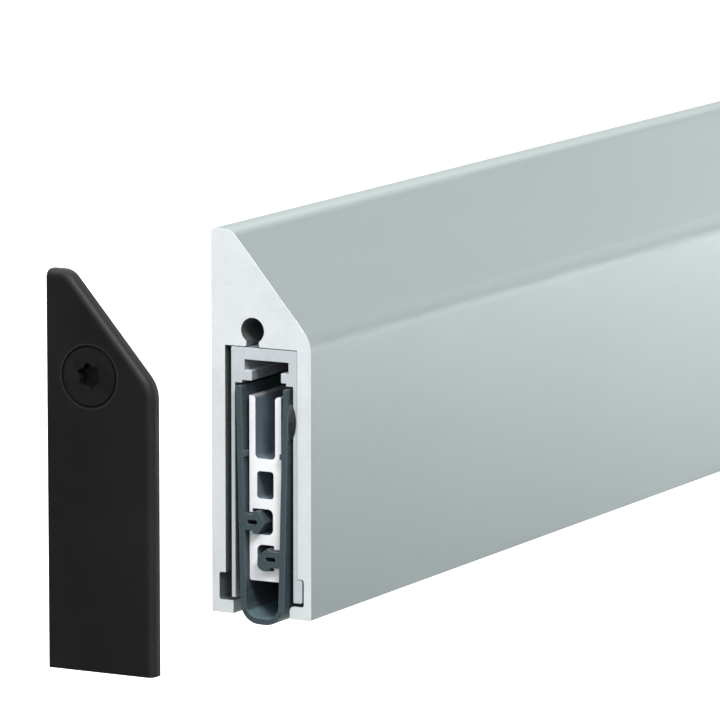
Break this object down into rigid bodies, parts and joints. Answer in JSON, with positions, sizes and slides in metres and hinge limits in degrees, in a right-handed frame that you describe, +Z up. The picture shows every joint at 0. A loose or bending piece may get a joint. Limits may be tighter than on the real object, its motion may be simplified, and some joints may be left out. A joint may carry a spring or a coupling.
{
  "type": "automatic door bottom seal",
  "caption": "Surface-mounted automatic door bottom seal for a glass door: sloped aluminium cover, inner channel, rubber seal that drops when the side button is pressed, end caps.",
  "frame": {"origin": "middle of the flat glass-side face of the cover", "axes": "+X along the door towards the button end, -Y towards the room, +Y into the glass, +Z up"},
  "size_m": [0.3807, 0.0123, 0.042],
  "materials": {
    "satin_aluminium": "satin anodised",
    "mill_aluminium": "plain extruded",
    "bright_aluminium": "bright sawn",
    "seal_rubber": "matt",
    "cap_plastic": "fine matt",
    "black_screw": "black satin",
    "plated_steel": "zinc plated",
    "spring_steel": "drawn wire",
    "brass": "turned",
    "block_plastic": "moulded"
  },
  "bodies": {
    "profile": {"cover_profile": "satin_aluminium", "housing_channel": "mill_aluminium", "end_cap_right": "cap_plastic", "cap_screw_right": "black_screw", "plunger_bush": "brass", "bush_screw": "plated_steel", "spring_seat": "block_plastic", "seat_screw": "plated_steel", "return_spring": "spring_steel", "anchor_block_a": "block_plastic", "anchor_pin_a": "plated_steel", "anchor_screw_a": "plated_steel", "anchor_block_b": "block_plastic", "anchor_pin_b": "plated_steel", "anchor_screw_b": "plated_steel"},
    "plunger": {"push_rod": "plated_steel", "thrust_block": "block_plastic", "thrust_rivet": "plated_steel", "slider_block_a": "block_plastic", "slider_rivet_a": "plated_steel", "slider_block_b": "block_plastic", "slider_rivet_b": "plated_steel"},
    "adjuster": {"plunger_screw": "plated_steel", "plunger_button": "cap_plastic"},
    "seal": {"carrier_rail": "bright_aluminium", "seal_strip": "seal_rubber", "carrier_pin_a": "plated_steel", "carrier_pin_b": "plated_steel"},
    "loose_cap": {"end_cap_left": "cap_plastic", "cap_screw_left": "black_screw"},
    "main_link_a": {"main_link_a": "plated_steel", "mid_pin_a": "plated_steel", "slider_pin_a": "plated_steel"},
    "short_link_a": {"short_link_a": "plated_steel"},
    "main_link_b": {"main_link_b": "plated_steel", "mid_pin_b": "plated_steel", "slider_pin_b": "plated_steel"},
    "short_link_b": {"short_link_b": "plated_steel"}
  },
  "joints": [
    {"name": "plunger_press", "type": "slide", "parent": "profile", "child": "plunger", "axis": [-1, 0, 0], "range_m": [0, 0.00355], "stiffness_N_per_m": 800, "springref_m": -0.004, "deforming": ["return_spring"]},
    {"name": "seal_drop", "type": "slide", "parent": "profile", "child": "seal", "axis": [0, 0, -1], "range_m": [0, 0.01]},
    {"name": "adjuster_turn", "type": "hinge", "parent": "plunger", "child": "adjuster", "pos_m": [0.17, -0.00666, 0.00147], "axis": [1, 0, 0], "continuous": true},
    {"name": "cap_fit", "type": "slide", "parent": "profile", "child": "loose_cap", "axis": [1, 0, 0], "range_m": [0, 0.03255]},
    {"name": "main_link_a_turn", "type": "hinge", "parent": "seal", "child": "main_link_a", "pos_m": [-0.11, -0.006, -0.00237], "axis": [0, -1, 0], "range_deg": [0, 16.95]},
    {"name": "short_link_a_turn", "type": "hinge", "parent": "profile", "child": "short_link_a", "pos_m": [-0.11, -0.007, 0.00453], "axis": [0, 1, 0], "range_deg": [0, 16.95]},
    {"name": "main_link_b_turn", "type": "hinge", "parent": "seal", "child": "main_link_b", "pos_m": [0.06997, -0.006, -0.00237], "axis": [0, -1, 0], "range_deg": [0, 16.95]},
    {"name": "short_link_b_turn", "type": "hinge", "parent": "profile", "child": "short_link_b", "pos_m": [0.06997, -0.007, 0.00453], "axis": [0, 1, 0], "range_deg": [0, 16.95]}
  ],
  "couplings": [
    {"joint": "seal_drop", "follows": "plunger_press", "ratio": 2.8201},
    {"joint": "main_link_a_turn", "follows": "plunger_press", "rad_per_m": 83.41},
    {"joint": "short_link_a_turn", "follows": "plunger_press", "rad_per_m": 83.41},
    {"joint": "main_link_b_turn", "follows": "plunger_press", "rad_per_m": 83.41},
    {"joint": "short_link_b_turn", "follows": "plunger_press", "rad_per_m": 83.41}
  ]
}
